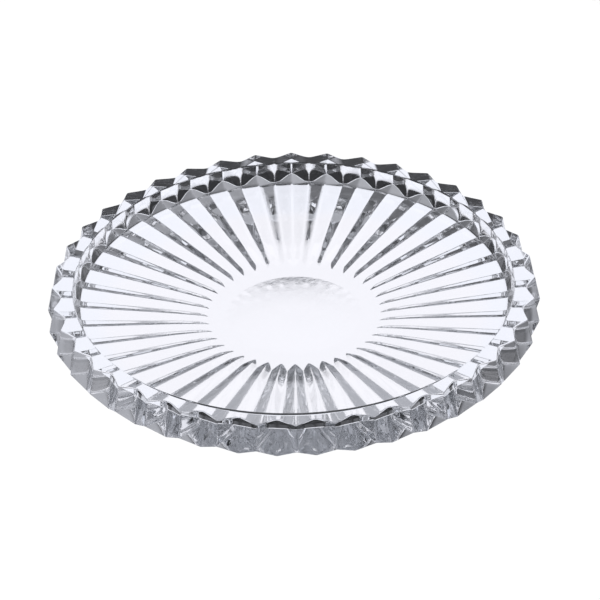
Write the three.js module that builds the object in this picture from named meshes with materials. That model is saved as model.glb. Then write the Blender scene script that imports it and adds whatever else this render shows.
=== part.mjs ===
import * as THREE from "three";

// Round plate of clear pressed crystal. Millimetres, +Z up, the foot stands on z = 0, the axis is Z.

// Counts
const TEETH = 40; // radial teeth round the rim, each with one groove below it
const COLUMNS = 4 * TEETH; // columns of points round the plate: a ridge, a flank, a valley and a flank per tooth
const RING_COLUMNS = 120;

// Rim
const HEIGHT = 31.2; // foot to flat rim top
const RIM_INNER_R = 133.75; // smooth inner edge of the flat rim
const RIM_RIDGE_R = 146.34; // tip of a tooth on the rim top
const RIM_VALLEY_R = 140.8; // bottom of the notch between two teeth on the rim top

// Outer wall, which flares towards its lower edge
const EDGE_RIDGE_R = 150.0; // lower end of a tooth ridge
const EDGE_RIDGE_Z = 14.37;
const EDGE_VALLEY_R = 145.5; // lower end of a notch, which hangs below the ridges
const EDGE_VALLEY_Z = 8.08;

// Well, down the inner wall, which is steepest under the rim, round its foot and in to the flat centre: radius, height
const WELL = [
  [133.31, 27.78],
  [132.79, 25.47],
  [131.87, 23.29],
  [130.15, 20.09],
  [129.63, 19.38],
  [128.91, 18.85],
  [128.0, 18.49],
  [126.91, 18.3],
  [69.13, 13.39],
  [62.15, 12.87],
  [55.17, 12.5],
  [48.18, 12.27],
  [41.18, 12.2],
];

// Underside pleats: straight grooves under the teeth and crests under the notches, ending in pointed arches
const BASE_Z = 0.0; // flat round the foot ring, between the arches
// They run straight in from the lower edge, then slope down faster to their ends: radius, height of the groove, height of the crest
const RUN_OUT = [
  [76.0, 5.43, 2.36],
  [70.0, 4.35, 1.47],
  [61.5, 2.69, 0.07],
];
// Groove end, in to its tip: radius, height, half width as a share of the half pitch
const ARCH = [
  [60.0, 2.38, 0.925],
  [57.4, 1.77, 0.72],
  [55.7, 1.28, 0.545],
  [54.3, 0.81, 0.362],
  [53.2, 0.36, 0.171],
];
const ARCH_TIP_R = 52.4;

// Seat of the foot ring, and the shallow hollow above and inside it: radius, height
const HOLLOW = [
  [50.8, 0.0],
  [50.8, 2.3],
  [22.23, 2.3],
  [15.1, 2.79],
  [10.94, 2.95],
  [6.95, 3.0],
];

// Foot ring, section from its outer foot edge round to its curved inner side: radius, height
const FOOT = [
  [49.9, 0.0],
  [50.5, 0.5],
  [50.5, 2.0],
  [25.48, 2.0],
  [31.5, 1.33],
  [36.79, 0.63],
  [41.3, 0.0],
];

const STEP = (2 * Math.PI) / COLUMNS;

function point(r, angle, z) {
  return [r * Math.cos(angle), r * Math.sin(angle), z];
}

// Plain circle of points.
function circle(r, z, columns = COLUMNS) {
  const ring = [];
  for (let i = 0; i < columns; i++)
    ring.push(point(r, (2 * Math.PI * i) / columns, z));
  return ring;
}

// Zigzag of points: ridge positions under whole teeth, valley positions between them, straight lines joining them.
function zigzag(ridgeR, ridgeZ, valleyR, valleyZ) {
  const ring = [];
  for (let i = 0; i < COLUMNS; i += 2)
    ring[i] =
      i % 4 === 0
        ? point(ridgeR, i * STEP, ridgeZ)
        : point(valleyR, i * STEP, valleyZ);
  for (let i = 1; i < COLUMNS; i += 2) {
    const a = ring[i - 1],
      b = ring[(i + 1) % COLUMNS];
    ring[i] = [(a[0] + b[0]) / 2, (a[1] + b[1]) / 2, (a[2] + b[2]) / 2];
  }
  return ring;
}

// Ring across the arched groove ends: the groove line, the two sides of the arch, and the flat between two arches.
function arch(r, grooveZ, share) {
  const ring = [];
  for (let i = 0; i < COLUMNS; i++) {
    const tooth = 4 * Math.round(i / 4),
      flank = i % 2 === 1 ? Math.sign(i - tooth) * (2 * share) : i - tooth;
    ring.push(point(r, (tooth + flank) * STEP, i % 4 === 0 ? grooveZ : BASE_Z));
  }
  return ring;
}

// Closed skin over rings that follow one another from the top centre outwards and back below, or round a closed section.
function skin(rings, capped) {
  const columns = rings[0].length,
    positions = rings.flat(2),
    faces = [],
    at = (ring, i) => ring * columns + (i % columns),
    last = rings.length - 1,
    strips = capped ? last : rings.length;
  for (let s = 0; s < strips; s++) {
    const t = (s + 1) % rings.length;
    for (let i = 0; i < columns; i++)
      faces.push(
        at(s, i), at(t, i), at(t, i + 1),
        at(s, i), at(t, i + 1), at(s, i + 1),
      );
  }
  if (capped) {
    const top = positions.length / 3;
    positions.push(0, 0, rings[0][0][2], 0, 0, rings[last][0][2]);
    for (let i = 0; i < columns; i++)
      faces.push(
        top, at(0, i), at(0, i + 1),
        at(last, i), top + 1, at(last, i + 1),
      );
  }
  const geometry = new THREE.BufferGeometry();
  geometry.setAttribute(
    "position",
    new THREE.Float32BufferAttribute(positions, 3),
  );
  geometry.setIndex(faces);
  geometry.computeVertexNormals();
  return geometry;
}

function crystal(name) {
  return new THREE.MeshStandardMaterial({
    name,
    color: 0xf4f7fa,
    roughness: 0.03,
    metalness: 0,
    transparent: true,
    opacity: 0.45,
  });
}

const bodyRings = [
  ...WELL.map(([r, z]) => circle(r, z)).reverse(),
  circle(RIM_INNER_R, HEIGHT),
  zigzag(RIM_RIDGE_R, HEIGHT, RIM_VALLEY_R, HEIGHT),
  zigzag(EDGE_RIDGE_R, EDGE_RIDGE_Z, EDGE_VALLEY_R, EDGE_VALLEY_Z),
  ...RUN_OUT.map(([r, grooveZ, crestZ]) => zigzag(r, grooveZ, r, crestZ)),
  ...ARCH.map(([r, z, share]) => arch(r, z, share)),
  circle(ARCH_TIP_R, BASE_Z),
  ...HOLLOW.map(([r, z]) => circle(r, z)),
];

const plateBody = new THREE.Mesh(skin(bodyRings, true), crystal("body_crystal"));
plateBody.name = "plate_body";

const footRing = new THREE.Mesh(
  skin(
    FOOT.map(([r, z]) => circle(r, z, RING_COLUMNS)).reverse(),
    false,
  ),
  crystal("foot_crystal"),
);
footRing.name = "foot_ring";

const plate = new THREE.Group();
plate.name = "crystal_plate";
plate.add(plateBody, footRing);

export default plate;
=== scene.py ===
import math

import bpy
import numpy as np
from mathutils import Matrix, Vector


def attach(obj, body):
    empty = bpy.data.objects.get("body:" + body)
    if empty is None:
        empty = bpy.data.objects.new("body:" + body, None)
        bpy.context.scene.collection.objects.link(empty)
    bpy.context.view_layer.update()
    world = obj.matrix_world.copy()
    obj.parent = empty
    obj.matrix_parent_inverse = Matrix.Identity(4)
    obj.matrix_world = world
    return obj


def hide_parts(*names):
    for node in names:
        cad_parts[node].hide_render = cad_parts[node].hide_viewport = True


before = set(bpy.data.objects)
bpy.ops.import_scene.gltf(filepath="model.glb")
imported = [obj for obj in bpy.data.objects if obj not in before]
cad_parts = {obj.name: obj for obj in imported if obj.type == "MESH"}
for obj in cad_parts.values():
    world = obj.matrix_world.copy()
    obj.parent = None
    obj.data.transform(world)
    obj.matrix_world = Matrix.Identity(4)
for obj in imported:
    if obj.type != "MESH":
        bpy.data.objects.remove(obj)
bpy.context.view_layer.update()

# ---------------------------------------------------------------------------------------------------------------------
# Sizes of the plate, in millimetres, in the CAD model's frame.
TEETH = 40
PITCH = 2 * math.pi / TEETH
HALF = PITCH / 2
HEIGHT = 31.2
RIM_INNER_R = 133.75
RIM_RIDGE_R, RIM_VALLEY_R = 146.5, 140.1    # before the rounding of ridges and roots
EDGE_RIDGE_R, EDGE_RIDGE_Z = 150.0, 14.37
EDGE_VALLEY_R, EDGE_VALLEY_Z = 145.4, 8.08
WELL_CENTRE_Z = 12.2
FLOOR_SLOPE = 0.085
FLOOR_R, FLOOR_Z = 129.3, 18.5      # foot of the inner wall
WALL_MID_R, WALL_MID_Z = 133.0, 25.4   # where the inner wall turns steep
PLEAT_APEX_Z = -5.97
BASE_Z = 0.0
ARCH_TIP_R, ARCH_FULL_R = 52.4, 76.0
PLEAT_LIFT = 1.0     # how far the grooves rise above their straight line where their ends begin
FOOT_IN_R = 41.3
RECESS_Z = 3.0

# Rounding of the polished edges, in millimetres.
ROUND_RIDGE = 0.5    # ridges of the teeth
ROUND_VALLEY = 2.0, 0.4   # roots of the notches, at the rim and at the lower edge
ROUND_PLEAT = 0.15, 0.6, 0.6, 0.3   # groove and crest lines below, from their ends to the outer edge
ROUND_TOP = 0.9      # outer edge of the rim top
ROUND_LOW = 0.5      # lower edge of the wall
ROUND_INNER = 1.0    # inner edge of the rim top
ROUND_FOOT = 1.8, 2.4     # foot of the inner wall, up the wall and along the floor

GROOVE_SLOPE = (EDGE_RIDGE_Z - PLEAT_APEX_Z) / EDGE_RIDGE_R
_x = EDGE_VALLEY_R * math.cos(HALF)
_y = EDGE_VALLEY_R * math.sin(HALF)
PLEAT_SLOPE = (PLEAT_APEX_Z + GROOVE_SLOPE * _x - EDGE_VALLEY_Z) / _y

PER_HALF = 10                      # columns in half a tooth
COLUMNS = 2 * PER_HALF * TEETH
UNIFORM = np.arange(PER_HALF + 1) / PER_HALF
CROWDED = np.array([0.0, 0.03, 0.065, 0.12, 0.25, 0.5, 0.7, 0.82, 0.9, 0.955, 1.0])


def angles(shares):
    """Angles of all columns, from the shares of half a pitch that one flank's columns sit at."""
    one = np.concatenate([shares[:-1] * HALF, PITCH - shares[:0:-1] * HALF])
    return (np.arange(TEETH)[:, None] * PITCH + one[None, :]).ravel()


def folded(theta, radius, tooth, notch):
    """Angle from the nearest tooth, 0 to half a pitch, as a triangle wave whose two corners are rounded."""
    phi = np.abs((theta + HALF) % PITCH - HALF)
    near = np.sqrt(phi ** 2 + (tooth / radius) ** 2)
    return HALF - np.sqrt((HALF - near) ** 2 + (notch / radius) ** 2)


def star(theta, ridge, valley, notch):
    """Radius of a straight-sided star of teeth."""
    phi = folded(theta, ridge, ROUND_RIDGE, notch)
    ay, ax = valley * math.sin(HALF), valley * math.cos(HALF)
    return ay * ridge / (ay * np.cos(phi) + (ridge - ax) * np.sin(phi))


def wall_radius(theta, z):
    ridge = RIM_RIDGE_R + (EDGE_RIDGE_R - RIM_RIDGE_R) * (HEIGHT - z) / (HEIGHT - EDGE_RIDGE_Z)
    valley = RIM_VALLEY_R + (EDGE_VALLEY_R - RIM_VALLEY_R) * (HEIGHT - z) / (HEIGHT - EDGE_VALLEY_Z)
    share = np.sqrt(np.clip((HEIGHT - z) / (HEIGHT - EDGE_VALLEY_Z), 0, 1))
    return star(theta, ridge, valley, ROUND_VALLEY[0] + (ROUND_VALLEY[1] - ROUND_VALLEY[0]) * share)


STEEP_R = np.array([52.4, 54, 58, 64, 72, 90])
STEEP = np.array([0.0, 0.03, 0.05, 0.04, 0.02, 0.0])
ARCH_R = np.array([52.4, 52.75, 53.2, 54.3, 55.7, 57.4, 60.0, 64.0, 70.0, 76.0])
ARCH_H = np.array([0.0, 0.14, 0.30, 0.68, 1.11, 1.56, 2.16, 3.01, 4.21, 5.336])


def groove_height(x):
    straight = PLEAT_APEX_Z + GROOVE_SLOPE * x
    straight = straight + PLEAT_LIFT * np.clip((EDGE_RIDGE_R - x) / (EDGE_RIDGE_R - ARCH_FULL_R), 0, 1)
    ends = np.interp(x, ARCH_R, ARCH_H)
    return np.where(x < ARCH_TIP_R, BASE_Z - 0.9 * (ARCH_TIP_R - x), np.where(x < ARCH_FULL_R, ends, straight))


def underside(theta, r):
    """Height of the pleated underside."""
    e = np.interp(r, [54, 66, 105, 140], ROUND_PLEAT)
    phi = folded(theta, r, e, e)
    # the groove sides steepen a little towards their inner ends
    steep = np.interp(r, STEEP_R, STEEP)
    pleat = groove_height(r * np.cos(phi)) - PLEAT_SLOPE * r * np.sin(phi)
    pleat = pleat + steep * r * (math.sin(HALF) - np.sin(phi))
    d = (pleat - BASE_Z) / 2
    return np.where(r > 90, pleat, BASE_Z + d + np.sqrt(d ** 2 + 0.05 ** 2))


def corner(a, c, b, la, lb, n):
    """Rounded corner at c between the directions to a and to b: points and tangents."""
    da, db = a - c, b - c
    p0 = c + da * (la / np.hypot(da[..., 0], da[..., 1]))[..., None]
    p1 = c + db * (lb / np.hypot(db[..., 0], db[..., 1]))[..., None]
    out = []
    for t in np.linspace(0, 1, n + 1):
        p = (1 - t) ** 2 * p0 + 2 * t * (1 - t) * c + t ** 2 * p1
        g = 2 * (1 - t) * (c - p0) + 2 * t * (p1 - c)
        out.append((p, g))
    return out


def profile(theta):
    """The section through the plate at each angle, from the top centre out over the rim and back below."""
    n = len(theta)
    one = np.ones(n)

    def at(r, z):
        return np.stack([r * one, z * one], -1)

    floor_in = at(FLOOR_R - (FLOOR_Z - WELL_CENTRE_Z) / FLOOR_SLOPE, WELL_CENTRE_Z)
    wall_foot = at(FLOOR_R, FLOOR_Z)
    wall_mid = at(WALL_MID_R, WALL_MID_Z)
    rim_in = at(RIM_INNER_R, HEIGHT)
    top = at(wall_radius(theta, HEIGHT), HEIGHT)
    z = np.full(n, 8.0)
    for _ in range(30):
        r = wall_radius(theta, z)
        z = underside(theta, r)
    low = np.stack([r, z], -1)
    inward = np.stack([np.full(n, 100.0), underside(theta, np.full(n, 100.0))], -1)

    rows = [(at(12.0, WELL_CENTRE_Z), at(1, 0))]
    rows += corner(at(0, WELL_CENTRE_Z), floor_in, wall_foot, 14 * one, 14 * one, 10)
    rows += corner(floor_in, wall_foot, wall_mid, ROUND_FOOT[1] * one, ROUND_FOOT[0] * one, 12)
    rows += corner(wall_foot, wall_mid, rim_in, 2.4 * one, 2.4 * one, 8)
    rows += corner(wall_mid, rim_in, top, ROUND_INNER * one, ROUND_INNER * one, 10)
    rows += corner(rim_in, top, low, ROUND_TOP * one, ROUND_TOP * one, 5)
    rows += corner(top, low, inward, ROUND_LOW * one, ROUND_LOW * one, 5)
    split = len(rows)
    for r in np.concatenate([[92.0, 88.0, 80.0], np.linspace(72, 63.4, 7), np.arange(63.0, 51.4, -0.25)]):
        h = 1e-3
        a, b = underside(theta, r + h * one), underside(theta, r - h * one)
        rows.append((np.stack([r * one, underside(theta, r * one)], -1), np.stack([-2 * h * one, b - a], -1)))
    flat = len(rows)
    # foot: a flat ring with a shallow, domed hollow inside it
    foot_in, hollow = at(FOOT_IN_R, 0.0), at(FOOT_IN_R - RECESS_Z / math.tan(math.radians(8.0)), RECESS_Z)
    rows += corner(at(51.4, 0), foot_in, hollow, 0.3 * one, 0.3 * one, 3)
    rows += corner(foot_in, hollow, at(0, RECESS_Z), 17.0 * one, 13.0 * one, 18)
    rows.append((at(3.0, RECESS_Z), at(-1, 0)))
    return rows, split, flat


def build_plate():
    plain, crowded = angles(UNIFORM), angles(CROWDED)
    made = {}
    for name, th in (("plain", plain), ("crowded", crowded)):
        d = 2e-5
        rows, split, flat = profile(th)
        ahead, back = profile(th + d)[0], profile(th - d)[0]
        made[name] = (th, rows, ahead, back)
    # the rim's outer edge, the wall and the start of the pleats take the crowded columns
    first_outer = next(i for i in range(len(rows)) if np.ptp(made["plain"][1][i][0][:, 0]) > 0.5)
    points, normals = [], []
    for v in range(len(rows)):
        name = "crowded" if first_outer <= v < split + 6 else "plain"
        th, rws, ahead, back = made[name]
        p, g = rws[v]
        c, s = np.cos(th), np.sin(th)
        pos = np.stack([p[:, 0] * c, p[:, 0] * s, p[:, 1]], -1)

        def cart(q, dth):
            return np.stack([q[:, 0] * np.cos(th + dth), q[:, 0] * np.sin(th + dth), q[:, 1]], -1)

        around = cart(ahead[v][0], 2e-5) - cart(back[v][0], -2e-5)
        along = np.stack([g[:, 0] * c, g[:, 0] * s, g[:, 1]], -1)
        nor = np.cross(along, around)
        nor /= np.linalg.norm(nor, axis=1)[:, None]
        points.append(pos)
        normals.append(nor)
    rings = len(points)
    points = np.concatenate(points + [np.array([[0, 0, WELL_CENTRE_Z], [0, 0, RECESS_Z]])])
    normals = np.concatenate(normals + [np.array([[0, 0, 1.0], [0, 0, -1.0]])])
    faces = []
    for v in range(rings - 1):
        for i in range(COLUMNS):
            j = (i + 1) % COLUMNS
            faces.append((v * COLUMNS + i, (v + 1) * COLUMNS + i, (v + 1) * COLUMNS + j, v * COLUMNS + j))
    top, low = rings * COLUMNS, rings * COLUMNS + 1
    last = (rings - 1) * COLUMNS
    for i in range(COLUMNS):
        j = (i + 1) % COLUMNS
        faces.append((top, i, j))
        faces.append((last + i, low, last + j))
    mesh = bpy.data.meshes.new("plate_crystal")
    mesh.from_pydata((points * 0.001).tolist(), [], faces)
    mesh.validate()
    mesh.polygons.foreach_set("use_smooth", [True] * len(mesh.polygons))
    mesh.normals_split_custom_set_from_vertices(normals.tolist())
    obj = bpy.data.objects.new("plate_crystal", mesh)
    bpy.context.scene.collection.objects.link(obj)
    return obj


def crystal_material():
    mat = bpy.data.materials.new("clear_crystal")
    mat.use_nodes = True
    nt = mat.node_tree
    bsdf = nt.nodes["Principled BSDF"]
    bsdf.inputs["Base Color"].default_value = (0.985, 0.99, 1.0, 1)
    bsdf.inputs["IOR"].default_value = 1.52
    bsdf.inputs["Transmission Weight"].default_value = 1.0
    coord = nt.nodes.new("ShaderNodeTexCoord")
    fine = nt.nodes.new("ShaderNodeTexNoise")
    fine.inputs["Scale"].default_value = 420.0
    fine.inputs["Detail"].default_value = 3.0
    rough = nt.nodes.new("ShaderNodeMapRange")
    rough.inputs["From Min"].default_value = 0.35
    rough.inputs["From Max"].default_value = 0.75
    rough.inputs["To Min"].default_value = 0.0
    rough.inputs["To Max"].default_value = 0.002
    nt.links.new(coord.outputs["Object"], fine.inputs["Vector"])
    nt.links.new(fine.outputs["Fac"], rough.inputs["Value"])
    # the hollow under the centre keeps the duller, faintly mottled skin of the mould
    parts = nt.nodes.new("ShaderNodeSeparateXYZ")
    nt.links.new(coord.outputs["Object"], parts.inputs[0])
    low = nt.nodes.new("ShaderNodeMapRange")
    low.inputs["From Min"].default_value = 0.0034
    low.inputs["From Max"].default_value = 0.0040
    low.inputs["To Min"].default_value = 1.0
    low.inputs["To Max"].default_value = 0.0
    nt.links.new(parts.outputs["Z"], low.inputs["Value"])
    reach = nt.nodes.new("ShaderNodeVectorMath")
    reach.operation = "LENGTH"
    nt.links.new(coord.outputs["Object"], reach.inputs[0])
    inside = nt.nodes.new("ShaderNodeMapRange")
    inside.inputs["From Min"].default_value = 0.0418
    inside.inputs["From Max"].default_value = 0.0428
    inside.inputs["To Min"].default_value = 1.0
    inside.inputs["To Max"].default_value = 0.0
    nt.links.new(reach.outputs["Value"], inside.inputs["Value"])
    hollow = nt.nodes.new("ShaderNodeMath")
    hollow.operation = "MULTIPLY"
    nt.links.new(low.outputs["Result"], hollow.inputs[0])
    nt.links.new(inside.outputs["Result"], hollow.inputs[1])
    mottle = nt.nodes.new("ShaderNodeTexNoise")
    mottle.inputs["Scale"].default_value = 260.0
    mottle.inputs["Detail"].default_value = 4.0
    nt.links.new(coord.outputs["Object"], mottle.inputs["Vector"])
    dull = nt.nodes.new("ShaderNodeMapRange")
    dull.inputs["From Min"].default_value = 0.3
    dull.inputs["From Max"].default_value = 0.7
    dull.inputs["To Min"].default_value = 0.03
    dull.inputs["To Max"].default_value = 0.16
    nt.links.new(mottle.outputs["Fac"], dull.inputs["Value"])
    skin = nt.nodes.new("ShaderNodeMix")
    nt.links.new(hollow.outputs[0], skin.inputs["Factor"])
    nt.links.new(rough.outputs["Result"], skin.inputs["A"])
    nt.links.new(dull.outputs["Result"], skin.inputs["B"])
    nt.links.new(skin.outputs["Result"], bsdf.inputs["Roughness"])
    wave = nt.nodes.new("ShaderNodeTexNoise")
    wave.inputs["Scale"].default_value = 45.0
    wave.inputs["Detail"].default_value = 2.0
    nt.links.new(coord.outputs["Object"], wave.inputs["Vector"])
    bump = nt.nodes.new("ShaderNodeBump")
    bump.inputs["Strength"].default_value = 0.01
    bump.inputs["Distance"].default_value = 0.0004
    nt.links.new(wave.outputs["Fac"], bump.inputs["Height"])
    dents = nt.nodes.new("ShaderNodeBump")
    dents.inputs["Distance"].default_value = 0.00010
    nt.links.new(hollow.outputs[0], dents.inputs["Strength"])
    nt.links.new(mottle.outputs["Fac"], dents.inputs["Height"])
    nt.links.new(bump.outputs["Normal"], dents.inputs["Normal"])
    nt.links.new(dents.outputs["Normal"], bsdf.inputs["Normal"])
    # long ways through the glass come out a little greyer and bluer than short ones
    tint = nt.nodes.new("ShaderNodeVolumeAbsorption")
    tint.inputs["Color"].default_value = (0.36, 0.44, 0.56, 1)
    tint.inputs["Density"].default_value = 1.1
    nt.links.new(tint.outputs[0], nt.nodes["Material Output"].inputs["Volume"])
    return mat


plate = build_plate()
plate.data.materials.append(crystal_material())
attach(plate, "root")
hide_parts("plate_body", "foot_ring")

# ---------------------------------------------------------------------------------------------------------------------
# Studio: a pale floor, a disc of painted light below the well (standing in for light through the glass, with painted
# shadow under the rim), a big white panel low behind the plate and a dim, soft room.

ROOM = 0.13                        # brightness of the room on the near side
TABLE_NEAR, TABLE_FAR = 3.0, 10.0   # the floor fades into the room between these distances
PAINTED_LIGHT_FULL, PAINTED_LIGHT_END = 0.110, 0.124   # the painted light below the well fades out under the rim, as painted shadow of the rim
WHITE = 1.02


def glow(name, tone, strength_from, strength_to, near, far):
    """White light whose strength changes with the distance from the plate's axis, seen from above only."""
    mat = bpy.data.materials.new(name)
    mat.use_nodes = True
    nt = mat.node_tree
    nt.nodes.clear()
    out = nt.nodes.new("ShaderNodeOutputMaterial")
    light = nt.nodes.new("ShaderNodeEmission")
    light.inputs["Color"].default_value = tone
    place = nt.nodes.new("ShaderNodeTexCoord")
    reach = nt.nodes.new("ShaderNodeVectorMath")
    reach.operation = "LENGTH"
    fade = nt.nodes.new("ShaderNodeMapRange")
    fade.interpolation_type = "SMOOTHSTEP"
    fade.inputs["From Min"].default_value = near
    fade.inputs["From Max"].default_value = far
    fade.inputs["To Min"].default_value = strength_from
    fade.inputs["To Max"].default_value = strength_to
    nt.links.new(place.outputs["Object"], reach.inputs[0])
    nt.links.new(reach.outputs["Value"], fade.inputs["Value"])
    nt.links.new(fade.outputs["Result"], light.inputs["Strength"])
    clear = nt.nodes.new("ShaderNodeBsdfTransparent")
    mix = nt.nodes.new("ShaderNodeMixShader")
    geo = nt.nodes.new("ShaderNodeNewGeometry")
    nt.links.new(geo.outputs["Backfacing"], mix.inputs[0])
    nt.links.new(light.outputs[0], mix.inputs[1])
    nt.links.new(clear.outputs[0], mix.inputs[2])
    nt.links.new(mix.outputs[0], out.inputs["Surface"])
    return mat, nt, mix, fade


def floor():
    mesh = bpy.data.meshes.new("floor")
    s = 12.0
    mesh.from_pydata([(-s, -s, 0), (s, -s, 0), (s, s, 0), (-s, s, 0)], [], [(0, 1, 2, 3)])
    obj = bpy.data.objects.new("floor", mesh)
    obj.location.z = -0.0004
    bpy.context.scene.collection.objects.link(obj)
    mesh.materials.append(glow("pale_floor", (1, 1, 1, 1), WHITE, ROOM, TABLE_NEAR, TABLE_FAR)[0])
    obj.visible_transmission = False
    obj.visible_glossy = False


def painted_light_disc(name, inner, outer, near, far, strength):
    """Round disc of painted light on the floor, hidden from the camera, standing in for light through the glass; it
    fades out softly between two distances from the axis into painted shadow.
    """
    mesh = bpy.data.meshes.new(name)
    n = 96
    turn = [(math.cos(2 * math.pi * i / n), math.sin(2 * math.pi * i / n)) for i in range(n)]
    verts = [(inner * c, inner * s, 0) for c, s in turn] + [(outer * c, outer * s, 0) for c, s in turn]
    mesh.from_pydata(verts, [], [(i, n + i, n + (i + 1) % n, (i + 1) % n) for i in range(n)])
    obj = bpy.data.objects.new(name, mesh)
    obj.location.z = -0.0002
    bpy.context.scene.collection.objects.link(obj)
    mat, nt, mix, fade = glow(name, (0.955, 0.95, 1.0, 1), 0.0, 1.0, near, far)
    lamp = mix.inputs[1].links[0].from_node
    nt.links.remove(lamp.inputs["Strength"].links[0])
    lamp.inputs["Strength"].default_value = strength
    both = nt.nodes.new("ShaderNodeMath")
    both.operation = "MAXIMUM"
    nt.links.new(mix.inputs[0].links[0].from_socket, both.inputs[0])
    nt.links.new(fade.outputs["Result"], both.inputs[1])
    nt.links.new(both.outputs[0], mix.inputs[0])
    mesh.materials.append(mat)
    obj.visible_camera = False


floor()
# painted light below the well, standing in for light through the glass; where it fades out under the rim is painted
# shadow
painted_light_disc("painted_light_below_well", 0.0005, PAINTED_LIGHT_END, PAINTED_LIGHT_FULL, PAINTED_LIGHT_END, WHITE * 1.05)

world = bpy.data.worlds.new("studio")
bpy.context.scene.world = world
world.use_nodes = True
wt = world.node_tree
bg = wt.nodes["Background"]
way = wt.nodes.new("ShaderNodeTexCoord").outputs["Generated"]


def panel(direction, inner, outer, strength):
    """Soft round panel of light round a direction; its angles are in degrees."""
    dot = wt.nodes.new("ShaderNodeVectorMath")
    dot.operation = "DOT_PRODUCT"
    dot.inputs[1].default_value = Vector(direction).normalized()
    wt.links.new(way, dot.inputs[0])
    edge = wt.nodes.new("ShaderNodeMapRange")
    edge.interpolation_type = "SMOOTHSTEP"
    edge.inputs["From Min"].default_value = math.cos(math.radians(outer))
    edge.inputs["From Max"].default_value = math.cos(math.radians(inner))
    edge.inputs["To Min"].default_value = 0.0
    edge.inputs["To Max"].default_value = strength
    wt.links.new(dot.outputs["Value"], edge.inputs["Value"])
    return edge.outputs["Result"]


def total(a, b, kind="ADD"):
    node = wt.nodes.new("ShaderNodeMath")
    node.operation = kind
    wt.links.new(a, node.inputs[0])
    wt.links.new(b, node.inputs[1])
    return node.outputs[0]


# above the horizon: brighter behind the plate and overhead, dim on the near side
above = total(panel((0.3, 1, 1.0), 10, 56, 0.32), panel((0, 0, 1), 10, 100, ROOM))
above = total(above, panel((0, 0, 1), 178, 180, 0.05))
# below it: the white panel behind the plate, seen through the glass
below = total(panel((0, 0.707, -0.707), 33, 46, WHITE), panel((0, 0, -1), 178, 180, 0.03))
below = total(below, panel((0, 0.42, -0.9), 20, 37, 0.22), "MAXIMUM")
split = wt.nodes.new("ShaderNodeMapRange")
split.interpolation_type = "SMOOTHSTEP"
split.inputs["From Min"].default_value = -0.16
split.inputs["From Max"].default_value = 0.02
height = wt.nodes.new("ShaderNodeSeparateXYZ")
wt.links.new(way, height.inputs[0])
wt.links.new(height.outputs["Z"], split.inputs["Value"])
blend = wt.nodes.new("ShaderNodeMix")
wt.links.new(split.outputs["Result"], blend.inputs["Factor"])
wt.links.new(below, blend.inputs["A"])
wt.links.new(above, blend.inputs["B"])
wt.links.new(blend.outputs["Result"], bg.inputs["Strength"])
bg.inputs["Color"].default_value = (0.95, 0.965, 1.04, 1)

# ---------------------------------------------------------------------------------------------------------------------
# Camera, at the photograph's viewing angle.
UNIT = 0.14634
az, el, roll = math.radians(0.2756), math.radians(34.3436), math.radians(-1.5082)
target = Vector((0, 0, HEIGHT * 0.001))
back = Vector((math.sin(az) * math.cos(el), -math.cos(az) * math.cos(el), math.sin(el)))
forward = -back
right = forward.cross(Vector((0, 0, 1))).normalized()
up = right.cross(forward)
right, up = right * math.cos(roll) + up * math.sin(roll), up * math.cos(roll) - right * math.sin(roll)
FOCAL = 3800.0
forward2 = (forward * FOCAL + right * (300 - 293.427) - up * (300 - 281.755)).normalized()
right2 = (right - forward2 * right.dot(forward2)).normalized()
up2 = right2.cross(forward2)
cam = bpy.data.cameras.new("camera")
cam.sensor_width = 36.0
cam.lens = FOCAL / 600 * 36
cam.clip_end = 100.0
camera = bpy.data.objects.new("camera", cam)
bpy.context.scene.collection.objects.link(camera)
m = Matrix.Identity(4)
for i in range(3):
    m[i][0], m[i][1], m[i][2] = right2[i], up2[i], -forward2[i]
m.translation = target + back * (15.7349 * UNIT)
camera.matrix_world = m
bpy.context.scene.camera = camera

scene = bpy.context.scene
scene.view_settings.view_transform = "Standard"
scene.cycles.max_bounces = 32
scene.cycles.transmission_bounces = 32
scene.cycles.glossy_bounces = 24
scene.cycles.transparent_max_bounces = 16
scene.cycles.use_denoising = True
scene.cycles.denoising_input_passes = "RGB"
